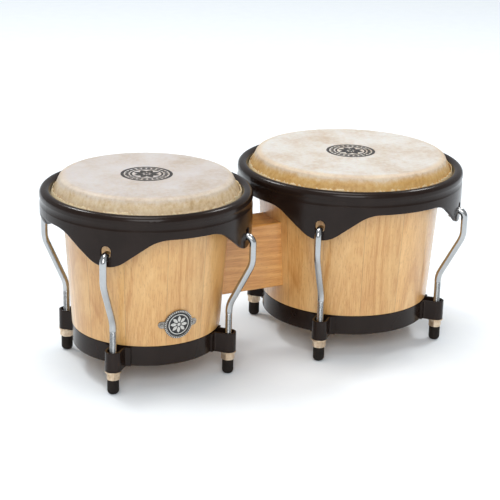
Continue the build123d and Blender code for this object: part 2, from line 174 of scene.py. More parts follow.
class Graph:
    """A material's node tree. Its calls take sockets or plain values and give back sockets."""

    def __init__(self, name, **fixed):
        self.material = bpy.data.materials.new(name)
        self.material.use_nodes = True
        self.tree = self.material.node_tree
        self.shader = self.tree.nodes["Principled BSDF"]
        for socket, value in fixed.items():
            self.set(socket, value)

    def set(self, socket, value):
        """Give one of the shader's own sockets a value or a link."""
        self.put(self.shader.inputs[socket], value)

    def put(self, socket, value):
        """Link any socket to another, or set its value."""
        if isinstance(value, bpy.types.NodeSocket):
            self.tree.links.new(value, socket)
        elif socket.type == "RGBA" and len(value) == 3:
            socket.default_value = (*value, 1.0)
        else:
            socket.default_value = value

    def node(self, kind, **settings):
        made = self.tree.nodes.new("ShaderNode" + kind)
        for name, value in settings.items():
            setattr(made, name, value)
        return made

    def math(self, operation, a, b=0.0, c=0.0):
        made = self.node("Math", operation=operation)
        for socket, value in zip(made.inputs, (a, b, c)):
            self.put(socket, value)
        return made.outputs[0]

    def add(self, a, b):
        return self.math("ADD", a, b)

    def times(self, a, b):
        return self.math("MULTIPLY", a, b)

    def scale_add(self, a, factor, offset):
        """a times a factor, plus an offset."""
        return self.math("MULTIPLY_ADD", a, factor, offset)

    def place(self):
        """The point on the surface, in the row frame."""
        return self.node("TexCoord").outputs["Object"]

    def split(self, vector):
        made = self.node("SeparateXYZ")
        self.put(made.inputs[0], vector)
        return made.outputs

    def join(self, x, y, z):
        made = self.node("CombineXYZ")
        for socket, value in zip(made.inputs, (x, y, z)):
            self.put(socket, value)
        return made.outputs[0]

    def noise(self, vector, scale, detail=3.0, roughness=0.5):
        """Noise in space."""
        made = self.node("TexNoise")
        values = {"Vector": vector, "Scale": scale, "Detail": detail, "Roughness": roughness}
        for name, value in values.items():
            self.put(made.inputs[name], value)
        return made.outputs[0]

    def noise_line(self, along, detail=2.0, roughness=0.5):
        """Noise along a single number."""
        made = self.node("TexNoise", noise_dimensions="1D")
        values = {"W": along, "Scale": 1.0, "Detail": detail, "Roughness": roughness}
        for name, value in values.items():
            self.put(made.inputs[name], value)
        return made.outputs[0]

    def random(self, value):
        """A number from 0 to 1 that looks random, the same for the same value."""
        made = self.node("TexWhiteNoise", noise_dimensions="1D")
        self.put(made.inputs["W"], value)
        return made.outputs["Value"]

    def span(self, value, low, high, to_low=0.0, to_high=1.0):
        """Map a range of values smoothly on to another."""
        made = self.node("MapRange", interpolation_type="SMOOTHSTEP")
        for socket, number in zip(made.inputs, (value, low, high, to_low, to_high)):
            self.put(socket, number)
        return made.outputs[0]

    def ramp(self, value, *stops):
        """Colour of a value, from stops that are pairs of a position and a colour."""
        made = self.node("ValToRGB")
        elements = made.color_ramp.elements
        while len(elements) < len(stops):
            elements.new(0.5)
        for element, (position, colour) in zip(elements, stops):
            element.position = position
            element.color = (*colour, 1.0)
        self.put(made.inputs[0], value)
        return made.outputs[0]

    def mix(self, factor, a, b, blend="MIX"):
        made = self.node("Mix", data_type="RGBA", blend_type=blend)
        self.put(made.inputs[0], factor)
        self.put(made.inputs[6], a)
        self.put(made.inputs[7], b)
        return made.outputs[2]

    def grey(self, value):
        """A grey colour of that lightness, for multiplying."""
        made = self.node("CombineColor")
        for socket in made.inputs[:3]:
            self.put(socket, value)
        return made.outputs[0]

    def bump(self, height, distance, strength):
        """A normal for relief of that height."""
        made = self.node("Bump")
        self.put(made.inputs["Height"], height)
        self.put(made.inputs["Distance"], distance)
        self.put(made.inputs["Strength"], strength)
        return made.outputs[0]


def wood_grain(g, across, seed, along, arch):
    """Colour index, pores and fibre of sawn hardwood: across and along the grain, in metres.

    arch is how far along the grain the rings' arches lie: near for arches, far for straight grain."""
    warp_at = g.join(across, g.times(seed, 3.0), g.times(along, 0.25))
    warp = g.noise(warp_at, 24.0, detail=2.0, roughness=0.5)
    from_arch = g.times(g.math("SUBTRACT", along, arch), 0.11)
    distance = g.math("SQRT", g.add(g.times(across, across), g.times(from_arch, from_arch)))
    ring_at = g.add(distance, g.scale_add(warp, 0.010, -0.005))
    rings = g.noise_line(g.scale_add(ring_at, 300.0, g.times(seed, 97.0)), detail=2.0, roughness=0.55)
    fibre_at = g.join(across, g.times(seed, 5.0), g.times(along, 0.045))
    fibre = g.noise(fibre_at, 1100.0, detail=2.0, roughness=0.6)
    pore_at = g.join(across, g.times(seed, 9.0), g.times(along, 0.14))
    pores = g.span(g.noise(pore_at, 1500.0, detail=2.0, roughness=0.6), 0.56, 0.68)
    cloud = g.noise(g.join(across, seed, g.times(along, 0.4)), 30.0, detail=3.0, roughness=0.6)
    tone = g.add(g.times(rings, 0.26), g.add(g.times(fibre, 0.36), g.times(cloud, 0.38)))
    return tone, pores, fibre


def finish_wood(g, tone, pores, fibre, stops, tint, pore_colour):
    """Lacquered wood from its grain: colour, satin gloss and the relief of its pores."""
    colour = g.ramp(tone, *stops)
    colour = g.mix(1.0, colour, tint, "MULTIPLY")
    colour = g.mix(g.times(pores, 0.46), colour, pore_colour)
    g.set("Base Color", colour)
    g.set("Roughness", g.scale_add(fibre, 0.16, 0.36))
    relief = g.add(g.times(fibre, 0.35), g.times(pores, -0.65))
    g.set("Normal", g.bump(relief, 0.12 * MM, 0.5))
    g.set("Coat Weight", 0.9)
    g.set("Coat Roughness", 0.26)
    return g.material


def stave_wood(drum):
    """Pale hardwood shell of upright staves, each with its own tone and grain."""
    g = Graph("stave_wood_" + drum.name)
    x, y, z = g.split(g.place())
    turn = g.scale_add(g.math("ARCTAN2", y, g.math("SUBTRACT", x, drum.x)), 0.5 / pi, 0.5)
    count = STAVES[drum.name]
    position = g.add(g.times(turn, float(count)), 0.3)
    index = g.math("FLOOR", position)
    within = g.math("FRACT", position)
    seed = g.random(g.add(index, 0.5))
    other_seed = g.random(g.add(index, 17.5))
    width = 2 * pi * drum.band_r / count
    across = g.times(g.add(within, g.scale_add(other_seed, 0.8, -0.9)), width)
    arch = g.scale_add(g.math("POWER", seed, 2.0), -0.55, 0.12)
    tone, pores, fibre = wood_grain(g, across, g.times(seed, 8.0), z, arch)
    stops = (
        (0.36, (0.55, 0.262, 0.068)),
        (0.45, (0.66, 0.358, 0.116)),
        (0.52, (0.74, 0.440, 0.162)),
        (0.62, (0.81, 0.520, 0.218)),
    )
    shade = g.ramp(
        other_seed,
        (0.0, (0.90, 0.84, 0.76)),
        (0.3, (1.0, 0.98, 0.95)),
        (0.55, (1.03, 0.95, 0.86)),
        (0.8, (1.0, 1.0, 1.0)),
        (1.0, (0.95, 0.90, 0.84)),
    )
    edge = g.math("MINIMUM", within, g.math("SUBTRACT", 1.0, within))
    joint = g.span(g.times(edge, width), 0.10 * MM, 0.45 * MM, 0.74, 1.0)
    tint = g.mix(1.0, shade, g.grey(joint), "MULTIPLY")
    return finish_wood(g, tone, pores, fibre, stops, tint, (0.40, 0.175, 0.048))


def block_wood():
    """Warmer hardwood of the centre block, its grain level."""
    g = Graph("block_wood")
    x, y, z = g.split(g.place())
    across = g.add(g.add(z, -0.02), g.times(y, 0.35))
    tone, pores, fibre = wood_grain(g, across, 2.7, x, -0.35)
    stops = (
        (0.36, (0.49, 0.195, 0.036)),
        (0.46, (0.61, 0.270, 0.060)),
        (0.54, (0.69, 0.335, 0.086)),
        (0.64, (0.76, 0.400, 0.115)),
    )
    return finish_wood(g, tone, pores, fibre, stops, (1.0, 0.98, 0.95), (0.34, 0.125, 0.028))


def rawhide(drum):
    """Rawhide: off-white and cloudy on the flat, tan and freckled on the collar, pale where trimmed."""
    g = Graph("rawhide_" + drum.name, IOR=1.45)
    place = g.place()
    x, y, z = g.split(place)
    from_axis = g.math("SUBTRACT", x, drum.x)
    radius = g.math("SQRT", g.add(g.times(from_axis, from_axis), g.times(y, y)))
    flat_r = drum.rim_r - FLAT_INSET
    clouds = g.noise(place, 26.0, detail=5.0, roughness=0.62)
    mottle = g.noise(place, 240.0, detail=4.0, roughness=0.65)
    cells = g.noise(place, 520.0, detail=3.0, roughness=0.7)
    freckles = g.span(g.noise(place, 1100.0, detail=2.0), 0.60, 0.72)
    angle = g.math("ARCTAN2", y, from_axis)
    streak_at = g.join(g.times(angle, drum.rim_r), g.times(z, 0.10), g.times(radius, 0.10))
    streaks = g.noise(streak_at, 330.0, detail=2.0, roughness=0.6)
    cloudy = g.add(g.times(clouds, 0.60), g.add(g.times(mottle, 0.20), g.times(cells, 0.20)))
    cream = g.ramp(cloudy, *zip((0.38, 0.50, 0.62), CREAMS[drum.name]))
    tans = TANS[drum.name]
    tan_index = g.add(g.times(streaks, 0.14), g.add(g.times(mottle, 0.48), g.times(clouds, 0.38)))
    tan = g.ramp(tan_index, *zip((0.36, 0.47, 0.56, 0.66), tans))
    wave = g.add(g.scale_add(clouds, 7 * MM, -3.5 * MM), g.scale_add(mottle, 5 * MM, -2.5 * MM))
    low = g.span(g.add(z, wave), drum.head_z - 8 * MM, drum.head_z + 2.5 * MM, 1.0, 0.0)
    rounding = g.span(radius, flat_r - 3 * MM, flat_r + 6 * MM, 0.0, 0.5)
    colour = g.mix(g.math("MAXIMUM", low, rounding), cream, tan)
    colour = g.mix(g.times(freckles, g.scale_add(low, 0.30, 0.04)), colour, (0.33, 0.19, 0.08))
    collar = g.scale_add(z, -COLLAR_SLOPE, collar_radius(drum, 0.0))
    trimmed = g.span(g.math("SUBTRACT", radius, collar), 0.35 * MM, 0.7 * MM)
    colour = g.mix(g.times(trimmed, 0.70), colour, (0.74, 0.61, 0.39))
    g.set("Base Color", colour)
    g.set("Roughness", g.scale_add(mottle, 0.22, 0.40))
    relief = g.add(g.times(mottle, 0.6), g.times(streaks, g.scale_add(low, 0.5, 0.05)))
    g.set("Normal", g.bump(relief, 0.30 * MM, 0.5))
    g.set("Subsurface Weight", 0.10)
    g.set("Subsurface Radius", (1.0, 0.6, 0.3))
    g.set("Subsurface Scale", 1.5 * MM)
    return g.material


def powder_coat():
    """Satin charcoal powder coat with its fine orange-peel."""
    g = Graph("powder_coat", IOR=1.5)
    place = g.place()
    peel = g.noise(place, 1500.0, detail=2.0, roughness=0.55)
    broad = g.noise(place, 45.0, detail=3.0)
    colour = g.ramp(broad, (0.35, (0.0125, 0.0062, 0.0038)), (0.65, (0.0168, 0.0090, 0.0062)))
    g.set("Base Color", colour)
    g.set("Specular IOR Level", 0.22)
    g.set("Roughness", g.add(g.scale_add(broad, 0.05, 0.165), g.times(peel, 0.05)))
    g.set("Normal", g.bump(peel, 0.03 * MM, 0.35))
    return g.material


def bright_plate():
    """Bright plate on the rods, with faint drawing lines and handling haze."""
    g = Graph("bright_plate", Metallic=1.0)
    place = g.place()
    x, y, z = g.split(place)
    lines = g.noise(g.join(x, y, g.times(z, 0.03)), 1400.0, detail=2.0)
    haze = g.noise(place, 60.0, detail=3.0, roughness=0.6)
    g.set("Base Color", g.ramp(haze, (0.3, (0.42, 0.43, 0.435)), (0.7, (0.50, 0.505, 0.505))))
    g.set("Roughness", g.add(g.scale_add(haze, 0.06, 0.12), g.times(lines, 0.05)))
    g.set("Normal", g.bump(lines, 0.01 * MM, 0.2))
    return g.material


def warm_plate():
    """Warm zinc plate on the nuts and washers, a little dull and stained."""
    g = Graph("warm_plate", Metallic=1.0)
    place = g.place()
    stain = g.noise(place, 260.0, detail=4.0, roughness=0.65)
    scratches = g.noise(place, 2400.0, detail=2.0)
    stops = ((0.3, (0.50, 0.36, 0.23)), (0.5, (0.66, 0.51, 0.36)), (0.7, (0.78, 0.65, 0.50)))
    g.set("Base Color", g.ramp(stain, *stops))
    g.set("Roughness", g.scale_add(stain, 0.22, 0.20))
    g.set("Normal", g.bump(scratches, 0.015 * MM, 0.4))
    return g.material


def grey_plate():
    """Plain zinc plate of the block's bolts and washers and of the flesh hoops."""
    g = Graph("grey_plate", Metallic=1.0)
    place = g.place()
    spangle = g.noise(place, 500.0, detail=3.0)
    g.set("Base Color", g.ramp(spangle, (0.35, (0.46, 0.47, 0.48)), (0.65, (0.66, 0.66, 0.66))))
    g.set("Roughness", g.scale_add(spangle, 0.25, 0.28))
    g.set("Normal", g.bump(spangle, 0.01 * MM, 0.3))
    return g.material


def turned_brass():
    """Brass of the threaded inserts, with fine turning marks."""
    g = Graph("turned_brass", Metallic=1.0)
    x, y, z = g.split(g.place())
    marks = g.noise(g.join(x, g.times(y, 0.1), g.times(z, 0.1)), 3000.0, detail=1.0)
    g.set("Base Color", g.ramp(marks, (0.3, (0.62, 0.44, 0.17)), (0.7, (0.78, 0.60, 0.30))))
    g.set("Roughness", g.scale_add(marks, 0.2, 0.22))
    g.set("Normal", g.bump(marks, 0.01 * MM, 0.3))
    return g.material


def black_rubber():
    """Matte black rubber, dusty in its grain."""
    g = Graph("black_rubber", IOR=1.5)
    place = g.place()
    grain = g.noise(place, 1300.0, detail=3.0, roughness=0.6)
    dust = g.noise(place, 180.0, detail=3.0)
    g.set("Base Color", g.ramp(dust, (0.35, (0.0078, 0.0048, 0.0032)), (0.70, (0.0165, 0.0115, 0.0085))))
    g.set("Specular IOR Level", 0.20)
    g.set("Roughness", g.scale_add(dust, 0.22, 0.52))
    g.set("Normal", g.bump(grain, 0.05 * MM, 0.5))
    return g.material


def badge_metal():
    """Polished metal of the badge's motif and beads, with soft wear."""
    g = Graph("badge_metal", Metallic=1.0)
    place = g.place()
    wear = g.noise(place, 700.0, detail=3.0)
    g.set("Base Color", g.ramp(wear, (0.3, (0.50, 0.485, 0.45)), (0.7, (0.68, 0.665, 0.63))))
    g.set("Roughness", g.scale_add(wear, 0.2, 0.10))
    g.set("Normal", g.bump(wear, 0.02 * MM, 0.3))
    return g.material


def tarnished_metal():
    """Dull grey metal of the badge's plate and pins, darker in its stains."""
    g = Graph("tarnished_metal", Metallic=1.0)
    place = g.place()
    stain = g.noise(place, 420.0, detail=4.0, roughness=0.65)
    stops = ((0.35, (0.20, 0.185, 0.165)), (0.52, (0.33, 0.315, 0.29)), (0.68, (0.47, 0.455, 0.43)))
    g.set("Base Color", g.ramp(stain, *stops))
    g.set("Roughness", g.scale_add(stain, 0.30, 0.22))
    g.set("Normal", g.bump(stain, 0.03 * MM, 0.4))
    return g.material


def black_enamel():
    """Glossy black enamel of the badge's field and rim groove, slightly wavy."""
    g = Graph("black_enamel", IOR=1.5)
    place = g.place()
    waves = g.noise(place, 240.0, detail=2.0)
    g.set("Base Color", g.ramp(waves, (0.3, (0.0075, 0.0080, 0.0090)), (0.7, (0.014, 0.0145, 0.016))))
    g.set("Roughness", g.scale_add(waves, 0.12, 0.10))
    g.set("Normal", g.bump(waves, 0.05 * MM, 0.3))
    return g.material


def printing_ink():
    """Dark ink soaked into the hide, thin in places."""
    g = Graph("printing_ink", IOR=1.45)
    place = g.place()
    blotch = g.noise(place, 650.0, detail=4.0, roughness=0.7)
    stops = ((0.42, (0.028, 0.025, 0.024)), (0.62, (0.060, 0.054, 0.050)), (0.72, (0.22, 0.205, 0.19)))
    g.set("Base Color", g.ramp(blotch, *stops))
    g.set("Roughness", g.scale_add(blotch, 0.2, 0.5))
    g.set("Normal", g.bump(blotch, 0.05 * MM, 0.3))
    return g.material


# ---------------------------------------------------------------- mesh helpers

def make_object(name, points, faces, material, smooth=True):
    """A mesh object at the origin, its points already in the row frame."""
    mesh = bpy.data.meshes.new(name)
    mesh.from_pydata([tuple(point) for point in points], [], faces)
    mesh.update()
    if smooth:
        mesh.polygons.foreach_set("use_smooth", [True] * len(mesh.polygons))
    made = bpy.data.objects.new(name, mesh)
    bpy.context.scene.collection.objects.link(made)
    mesh.materials.append(material)
    return made


def ring_faces(first, second, count):
    """Faces between two rings of points, given the index that each starts at."""
    return [
        (first + i, first + (i + 1) % count, second + (i + 1) % count, second + i)
        for i in range(count)
    ]


def arc(centre, radius, start, end, steps):
    """Points along an arc in the plane of radius and height, both ends included."""
    angles = np.linspace(start, end, steps + 1)
    return [(centre[0] + radius * cos(a), centre[1] + radius * sin(a)) for a in angles]


def curve_between(start, control, end, steps):
    """Points along a bend that leaves and arrives towards its control point."""
    places = np.linspace(0, 1, steps + 1)
    return [
        tuple((1 - t) ** 2 * a + 2 * t * (1 - t) * b + t * t * c for a, b, c in zip(start, control, end))
        for t in places
    ]


def straight(start, end, steps):
    """Points along a straight line, without its first point."""
    places = np.linspace(0, 1, steps + 1)[1:]
    return [tuple(a + t * (b - a) for a, b in zip(start, end)) for t in places]


# ---------------------------------------------------------------- skins

def skin_section(drum):
    """The skin's outline in radius and height: top from the middle out, round the hoop, back under."""
    top = drum.head_z
    flat = (drum.rim_r - FLAT_INSET, top)
    corner = (drum.rim_r - CORNER_INSET, top)
    shoulder = (drum.rim_r - SHOULDER_INSET, top - SHOULDER_DROP)
    collar = (drum.rim_r - COLLAR_INSET, top - COLLAR_DROP)
    hoop = (drum.hoop_r, drum.hoop_z)
    near = drum.wire_r + LAP_GAP
    far = near + LAP_THICKNESS
    to_hoop_steps = LAP_STEPS // 4
    outer = straight((0, top), flat, FLAT_STEPS)
    outer += curve_between(flat, corner, shoulder, SHOULDER_STEPS)[1:]
    outer += straight(shoulder, collar, COLLAR_STEPS)
    outer += straight(collar, (hoop[0] - near, hoop[1]), to_hoop_steps)
    outer += arc(hoop, near, pi, 2 * pi + LAP_END, LAP_STEPS)[1:]
    under = SKIN_THICKNESS
    under_shoulder = (shoulder[0] - under, shoulder[1] - under / 2)
    under_corner = (corner[0] - under / 2, top - under)
    under_flat = (flat[0], top - under)
    inner = arc(hoop, far, 2 * pi + LAP_END, pi, LAP_STEPS)
    inner += straight(inner[-1], (collar[0] - under, collar[1] - under / 4), to_hoop_steps)
    inner += straight(inner[-1], under_shoulder, COLLAR_STEPS)
    inner += curve_between(under_shoulder, under_corner, under_flat, SHOULDER_STEPS)[1:]
    inner += straight(inner[-1], (0, top - under), FLAT_STEPS)[:-1]
    return outer + inner


def hide_relief(drum, point):
    """How far the hide stands out of true at a point: slow waves, and fine puckers on the collar."""
    from_axis = Vector((point[0] - drum.x, point[1], 0))
    turn = atan2(from_axis.y, from_axis.x)
    slow = noise.noise(Vector(point) * 22) * WAVE_HEIGHT
    on_collar = max(0.0, min(1.0, (from_axis.length - drum.rim_r + FLAT_INSET) / (8 * MM)))
    pucker_at = Vector((cos(turn), sin(turn), 0)) * 26
    pucker = noise.noise(pucker_at + Vector((0, 0, point[2] * 30))) * PUCKER_HEIGHT
    return slow * (1 - on_collar * 0.5) + pucker * on_collar


def skin_points(drum, outline):
    """The outline turned about the drum's axis, with the hide's relief, which never rises above it."""
    points = []
    for radius, height in outline:
        on_flat = radius < drum.rim_r - FLAT_INSET
        for i in range(SKIN_SEGMENTS):
            turn = 2 * pi * i / SKIN_SEGMENTS
            x, y = drum.x + radius * cos(turn), radius * sin(turn)
            away = hide_relief(drum, (x, y, height))
            lift = away if on_flat else away * 0.4
            push = 0.0 if on_flat else away
            points.append((x + push * cos(turn), y + push * sin(turn), height + min(lift, 0.0)))
    return points


def collar_radius(drum, height):
    """The collar's outer radius at a height."""
    return drum.rim_r - SHOULDER_INSET + (drum.head_z - SHOULDER_DROP - height) * COLLAR_SLOPE


def trim_height(turn):
    """Height of the trimmed edge above its foot: cut by hand, torn and frayed."""
    around = Vector((cos(turn), sin(turn), 0))
    cut = noise.noise(around * 3.1) * 0.22
    tear = noise.noise(around * 34) * 0.30 + noise.noise(around * 90) * 0.26
    fray = noise.noise(around * 260 + Vector((0, 0, 5))) * 0.14
    return TRIM_HEIGHT * min(1.20, 0.88 + cut + tear + fray)


def trim_lean(turn):
    """How far the trimmed edge's lip leans out: most on one side, and uneven."""
    curl = 0.75 + 0.75 * cos(turn - TRIM_LEAN_TOWARD)
    uneven = noise.noise(Vector((cos(turn), sin(turn), 0)) * 26 + Vector((0, 0, 9)))
    return (curl + max(-0.15, uneven) * 0.9) * MM


def trim_strip(drum, first):
    """The skin's trimmed edge, standing ragged round the foot of the collar."""
    points, faces = [], []
    foot = drum.head_z - TRIM_DROP
    half = SKIN_THICKNESS / 3
    outline = [(-half, level) for level in range(TRIM_LEVELS)]
    outline += [(half, level) for level in reversed(range(TRIM_LEVELS))]
    segments = 2 * SKIN_SEGMENTS
    for side, level in outline:
        share = level / (TRIM_LEVELS - 1)
        for i in range(segments):
            turn = 2 * pi * i / segments
            z = foot + trim_height(turn) * share
            lean = trim_lean(turn) * share * share
            r = collar_radius(drum, z) + TRIM_STAND_OFF + side * (1.1 - 0.7 * share) + lean
            points.append((drum.x + r * cos(turn), r * sin(turn), z))
    rows = len(outline)
    for row in range(rows):
        faces += ring_faces(first + row * segments, first + (row + 1) % rows * segments, segments)
    return points, faces


def make_skin(drum):
    """Rawhide head with its collar, its lap round the hoop and its trimmed edge."""
    outline = skin_section(drum)
    points = skin_points(drum, outline)
    faces = []
    for row in range(len(outline) - 1):
        faces += ring_faces(row * SKIN_SEGMENTS, (row + 1) * SKIN_SEGMENTS, SKIN_SEGMENTS)
    last = (len(outline) - 1) * SKIN_SEGMENTS
    top_middle = len(points)
    points.append((drum.x, 0, drum.head_z))
    points.append((drum.x, 0, drum.head_z - SKIN_THICKNESS))
    for i in range(SKIN_SEGMENTS):
        following = (i + 1) % SKIN_SEGMENTS
        faces.append((top_middle, following, i))
        faces.append((top_middle + 1, last + i, last + following))
    strip, strip_faces = trim_strip(drum, len(points))
    skin = make_object(drum.name + "_rawhide_head", points + strip, faces + strip_faces, rawhide(drum))
    fix_normals(skin)
    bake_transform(skin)
    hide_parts(drum.name + "_skin")


def fix_normals(made):
    """Turn every face outwards."""
    mesh = bmesh.new()
    mesh.from_mesh(made.data)
    bmesh.ops.recalc_face_normals(mesh, faces=mesh.faces)
    mesh.to_mesh(made.data)
    mesh.free()


# ---------------------------------------------------------------- tuning rods

def bent_line(corners, radii, step):
    """Points along straight runs joined by arcs, in the plane of radius and height."""
    points = [np.array(corners[0])]
    for before, corner, after, radius in zip(corners, corners[1:], corners[2:], radii):
        before, corner, after = (np.array(p, float) for p in (before, corner, after))
        into = (corner - before) / np.linalg.norm(corner - before)
        out = (after - corner) / np.linalg.norm(after - corner)
        turn = np.arccos(np.clip(into @ out, -1, 1))
        trim = radius * np.tan(turn / 2)
        start = corner - into * trim
        side = out - into * (into @ out)
        side /= np.linalg.norm(side)
        steps = max(4, ceil(turn * radius / step))
        for i in range(steps + 1):
            a = turn * i / steps
            points.append(start + side * radius * (1 - cos(a)) + into * radius * sin(a))
    points.append(np.array(corners[-1], float))
    return points


def rod_line(drum):
    """The rod's centreline: hook, crank, the threaded length in short even steps, and the plain end."""
    out, inside = drum.rim_r + ROD_OUT, drum.rim_r + ROD_IN
    hook = drum.rim_r + HOOK_IN
    corners = [(hook, HOOK_END), (hook, HOOK_SEAT), (out, HOOK_SEAT), (out, CRANK_TOP)]
    corners += [(inside, CRANK_BOTTOM), (inside, THREAD_TOP)]
    line = bent_line(corners, (HOOK_BEND, SHOULDER_BEND, CRANK_BEND, CRANK_BEND), ROD_STEP)
    step = THREAD_PITCH / THREAD_STEPS
    count = floor((THREAD_TOP - THREAD_BOTTOM) / step)
    line += [np.array((inside, THREAD_TOP - step * (i + 1))) for i in range(count)]
    line.append(np.array((inside, ROD_BOTTOM)))
    return line


def chamfered(line):
    """The line with a chamfer at its first point: pairs of a point and its share of the radius."""
    into = (line[1] - line[0]) / np.linalg.norm(line[1] - line[0])
    start = [(line[0] + into * along, share) for along, share in ROD_CHAMFER]
    return start + [(point, 1.0) for point in line[1:]]


def thread_relief(height, turn):
    """Depth of the thread's groove at a height and an angle round the rod."""
    if not THREAD_BOTTOM < height < THREAD_TOP:
        return 0.0
    phase = (height / THREAD_PITCH - turn / (2 * pi)) % 1.0
    groove = max(0.0, 1 - abs(phase - 0.5) / THREAD_FLANK)
    run_in = min(1.0, (THREAD_TOP - height) / THREAD_RUN_IN)
    return THREAD_DEPTH * groove * run_in


def make_rod(drum, lug, angle, material):
    """One tuning rod: a bent bar with a chamfered end and a rolled thread on its lower part."""
    line = chamfered(rod_line(drum))
    toward = Vector((cos(radians(angle)), sin(radians(angle)), 0))
    sideways = Vector((-toward.y, toward.x, 0))
    middle = Vector((drum.x, 0, 0))
    inside = drum.rim_r + ROD_IN
    points = []
    for i, ((out, height), share) in enumerate(line):
        before, after = line[max(0, i - 1)][0], line[min(len(line) - 1, i + 1)][0]
        tangent = (after - before) / np.linalg.norm(after - before)
        normal = toward * float(-tangent[1]) + Vector((0, 0, float(tangent[0])))
        centre = middle + toward * float(out) + Vector((0, 0, float(height)))
        threaded = abs(out - inside) < 0.01 * MM
        for k in range(ROD_SEGMENTS):
            turn = 2 * pi * k / ROD_SEGMENTS
            radius = ROD_RADIUS * share - (thread_relief(float(height), turn) if threaded else 0.0)
            points.append(centre + (normal * cos(turn) + sideways * sin(turn)) * radius)
    faces = [tuple(range(ROD_SEGMENTS))]
    for row in range(len(line) - 1):
        faces += ring_faces(row * ROD_SEGMENTS, (row + 1) * ROD_SEGMENTS, ROD_SEGMENTS)
    last = (len(line) - 1) * ROD_SEGMENTS
    faces.append(tuple(range(last, last + ROD_SEGMENTS)))
    rod = make_object(f"{drum.name}_threaded_rod_{lug}", points, faces, material)
    fix_normals(rod)
    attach(rod, drum.tuning)
    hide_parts(f"{drum.name}_tuning_rod_{lug}")


# ---------------------------------------------------------------- prints on the heads

def circle(radius, segments, x=0.0, y=0.0):
    """Points evenly round a circle."""
    turns = [2 * pi * i / segments for i in range(segments)]
    return [(x + radius * cos(turn), y + radius * sin(turn)) for turn in turns]


def flat_ring(inner, outer, segments=96):
    """Points and faces of a flat ring round the origin."""
    return circle(inner, segments) + circle(outer, segments), ring_faces(0, segments, segments)


def petal(turn, start, end, width, steps=14):
    """A leaf-shaped petal from one radius to another, pointing along an angle."""
    left, right = [], []
    for i in range(steps + 1):
        t = i / steps
        half = width / 2 * sin(pi * t) ** 0.8
        along = start + (end - start) * t
        left.append((along, half))
        right.append((along, -half))
    outline = left + right[-2:0:-1]
    c, s = cos(turn), sin(turn)
    points = [(x * c - y * s, x * s + y * c) for x, y in outline]
    return points, [tuple(range(len(points)))]


def disc(x, y, radius, segments=28):
    """A flat disc."""
    return circle(radius, segments, x, y), [tuple(range(segments))]


def rosette(start, end, width):
    """Petals evenly round the origin."""
    return [petal(2 * pi * i / PETALS, start, end, width) for i in range(PETALS)]


def join_flat(parts):
    """Several flat outlines as one list of points and one of faces."""
    points, faces = [], []
    for part_points, part_faces in parts:
        start = len(points)
        points += part_points
        faces += [tuple(start + i for i in face) for face in part_faces]
    return points, faces


def make_print(drum, material):
    """A plain printed mark in the middle of the head: two rings, beads, and a rosette round a dot."""
    r = PRINT_RADIUS
    parts = [flat_ring(inner * r, outer * r) for inner, outer in PRINT_RINGS]
    parts += [disc(x, y, PRINT_BEAD_RADIUS * r) for x, y in circle(PRINT_BEADS_AT * r, PRINT_BEADS)]
    parts += rosette(*(share * r for share in PRINT_PETAL))
    flat, faces = join_flat(parts)
    z = drum.head_z + PRINT_LIFT
    points = [(drum.x + x, y, z) for x, y in flat]
    made = make_object(drum.name + "_head_print", points, faces, material)
    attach(made, ROOT)


# ---------------------------------------------------------------- badge

def badge_field():
    """The badge's centre, and the radius of its field there about the macho's axis."""
    low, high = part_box("badge")
    centre = Vector(((low.x + high.x) / 2, 0, BADGE_CENTRE_Z))
    mesh = NODES["badge"].data
    points = [vertex.co for vertex in mesh.vertices]
    tree = BVHTree.FromPolygons(points, [tuple(face.vertices) for face in mesh.polygons])
    backwards = Vector((0, 1, 0))
    front = tree.ray_cast(centre - backwards, backwards)[0]
    return centre, -front.y


def slab_faces(faces, count):
    """Faces of a slab: the given ones, the same ones turned over, count points on, and its sides."""
    edges = [edge for face in faces for edge in zip(face, face[1:] + face[:1])]
    inside = {(b, a) for a, b in edges}
    under = [tuple(count + i for i in reversed(face)) for face in faces]
    return faces + under + [(b, a, count + a, count + b) for a, b in edges if (a, b) not in inside]


def lay_on_badge(name, outline, lift, drop, material):
    """A flat outline laid on the badge's field: lifted off it, with sides going down into it."""
    flat, faces = outline
    centre, field_r = badge_field()
    axis_x = DRUMS[0].x
    c, s = cos(BADGE_TILT), sin(BADGE_TILT)
    points = []
    for level in (lift, -drop):
        for u, v in flat:
            x, z = centre.x + u * c - v * s, centre.z + u * s + v * c
            radius = field_r + SHELL_FLARE * (z - centre.z)
            y = -sqrt(radius * radius - (x - axis_x) ** 2)
            outward = Vector((x - axis_x, y, 0)).normalized()
            points.append(Vector((x, y, z)) + outward * level)
    made = make_object(name, points, slab_faces(faces, len(flat)), material, smooth=False)
    fix_normals(made)
    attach(made, ROOT)


def grid_disc(radius, rings=10, segments=64):
    """A disc of concentric rings, which can be bent to a curved surface."""
    points = [(0.0, 0.0)]
    for ring in range(1, rings + 1):
        points += circle(radius * ring / rings, segments)
    faces = [(0, 1 + i, 1 + (i + 1) % segments) for i in range(segments)]
    for ring in range(rings - 1):
        a, b = 1 + ring * segments, 1 + (ring + 1) * segments
        faces += [(a + i, b + i, b + (i + 1) % segments, a + (i + 1) % segments) for i in range(segments)]
    return points, faces


